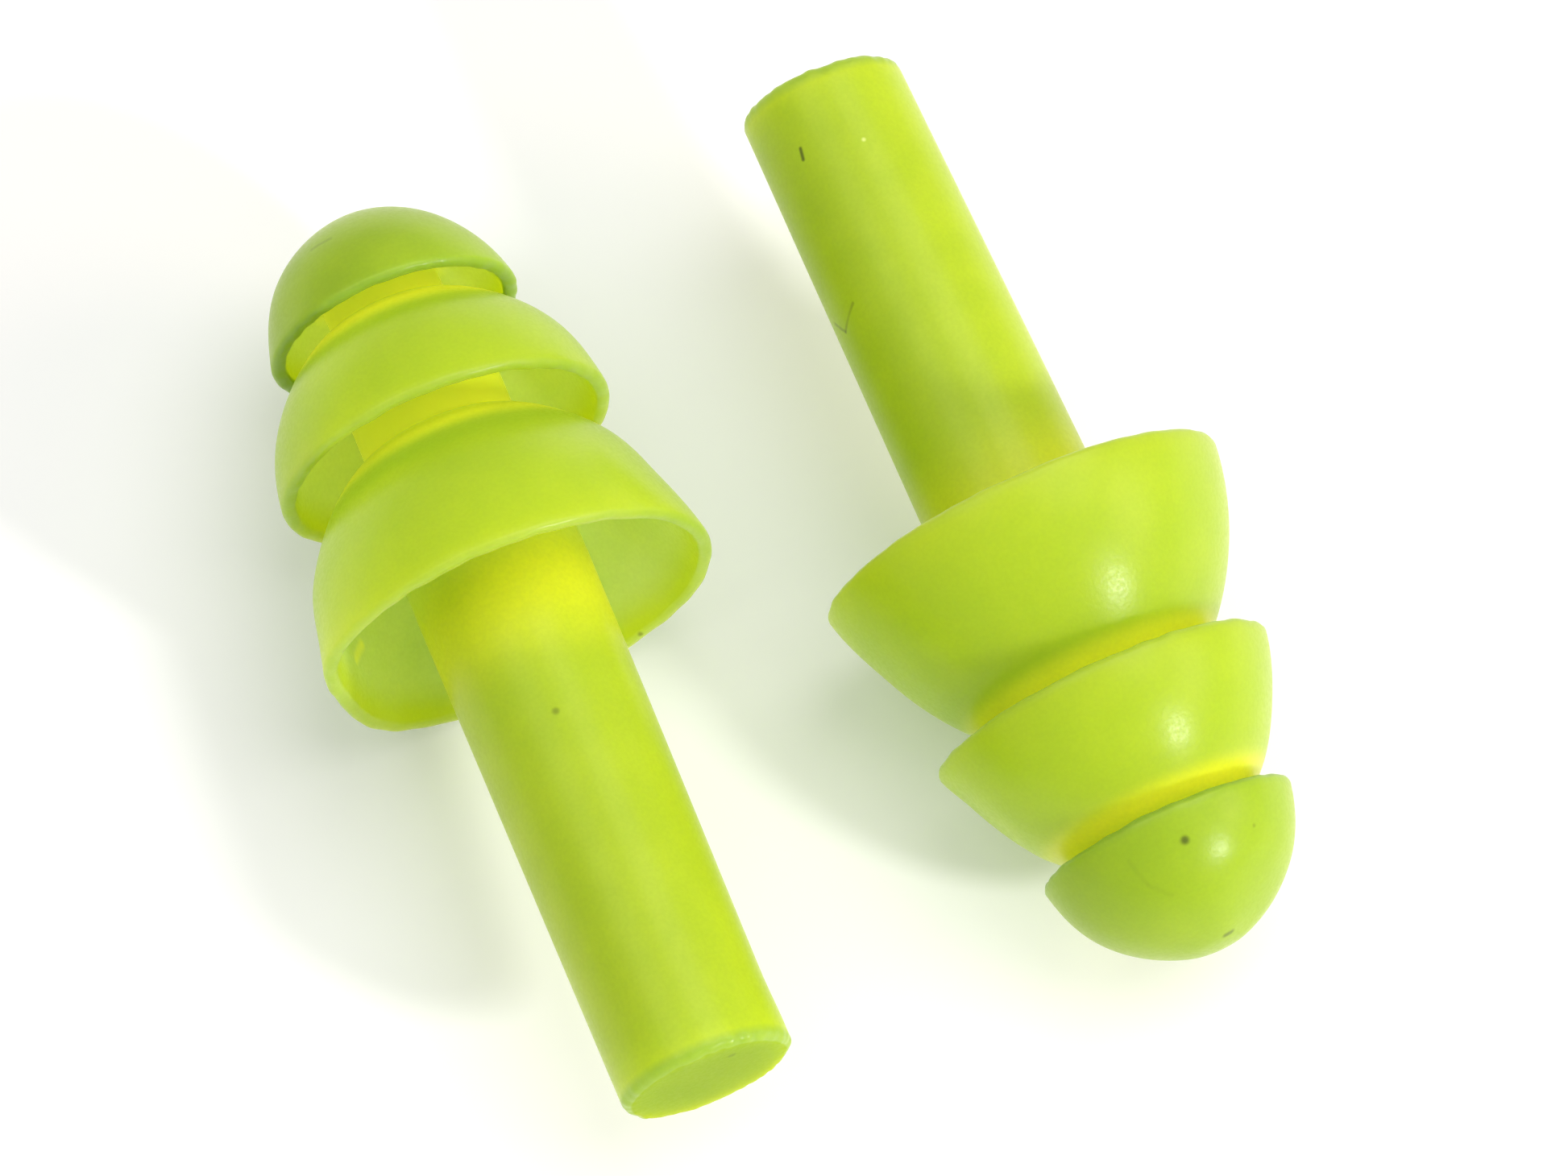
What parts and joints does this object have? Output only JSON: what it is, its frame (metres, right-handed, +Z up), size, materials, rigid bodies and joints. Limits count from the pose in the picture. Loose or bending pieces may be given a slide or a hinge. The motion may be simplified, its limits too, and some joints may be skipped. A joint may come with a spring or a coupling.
{
  "type": "reusable flanged ear plugs",
  "caption": "Pair of soft moulded ear plugs: a tapered finger stem carries hollow bell flanges that narrow towards a round tip and seal the ear canal.",
  "frame": {"origin": "on the table, under the middle of the lying pair: the centre of the bottom of the box round both plugs", "axes": "+Z up from the table; +Y the way the left plug's tip points, seen from above, while the right plug's tip points to -Y; +X from the left plug to the right one"},
  "size_m": [0.0276, 0.031, 0.0125],
  "materials": {
    "elastomer": "satin, translucent, fluorescent yellow-green"
  },
  "bodies": {
    "left_back": {"left_large_flange": "elastomer", "left_stem_root": "elastomer", "left_rear_neck": "elastomer"},
    "left_stem": {"left_stem": "elastomer"},
    "left_middle": {"left_middle_flange": "elastomer", "left_front_neck": "elastomer"},
    "left_nose": {"left_tip_flange": "elastomer"},
    "right_back": {"right_large_flange": "elastomer", "right_stem_root": "elastomer", "right_rear_neck": "elastomer"},
    "right_stem": {"right_stem": "elastomer"},
    "right_middle": {"right_middle_flange": "elastomer", "right_front_neck": "elastomer"},
    "right_nose": {"right_tip_flange": "elastomer"}
  },
  "joints": [
    {"name": "right_plug_lift", "type": "slide", "parent": "left_back", "child": "right_back", "axis": [0, 0, 1], "range_m": [0, 0.03]},
    {"name": "left_stem_bend", "type": "hinge", "parent": "left_back", "child": "left_stem", "pos_m": [-0.00756, 0.00365, 0.00614], "axis": [-0.9999, 0.0157, 0], "range_deg": [-12, 20], "stiffness_Nm_per_rad": 0.016, "deforming": ["left_stem_root"]},
    {"name": "left_rear_neck_bend", "type": "hinge", "parent": "left_back", "child": "left_middle", "pos_m": [-0.00749, 0.00864, 0.0059], "axis": [0.0008, 0.0488, 0.9988], "range_deg": [-12, 12], "stiffness_Nm_per_rad": 0.012, "deforming": ["left_rear_neck"]},
    {"name": "left_front_neck_bend", "type": "hinge", "parent": "left_middle", "child": "left_nose", "pos_m": [-0.00742, 0.01256, 0.00571], "axis": [0.0008, 0.0488, 0.9988], "range_deg": [-10, 10], "stiffness_Nm_per_rad": 0.008, "deforming": ["left_front_neck"]},
    {"name": "right_stem_bend", "type": "hinge", "parent": "right_back", "child": "right_stem", "pos_m": [0.00764, -0.00365, 0.00614], "axis": [0.9999, 0.0157, 0], "range_deg": [-12, 20], "stiffness_Nm_per_rad": 0.016, "deforming": ["right_stem_root"]},
    {"name": "right_rear_neck_bend", "type": "hinge", "parent": "right_back", "child": "right_middle", "pos_m": [0.00771, -0.00864, 0.0059], "axis": [0.0008, -0.0488, 0.9988], "range_deg": [-12, 12], "stiffness_Nm_per_rad": 0.012, "deforming": ["right_rear_neck"]},
    {"name": "right_front_neck_bend", "type": "hinge", "parent": "right_middle", "child": "right_nose", "pos_m": [0.00778, -0.01256, 0.00571], "axis": [0.0008, -0.0488, 0.9988], "range_deg": [-10, 10], "stiffness_Nm_per_rad": 0.008, "deforming": ["right_front_neck"]}
  ]
}
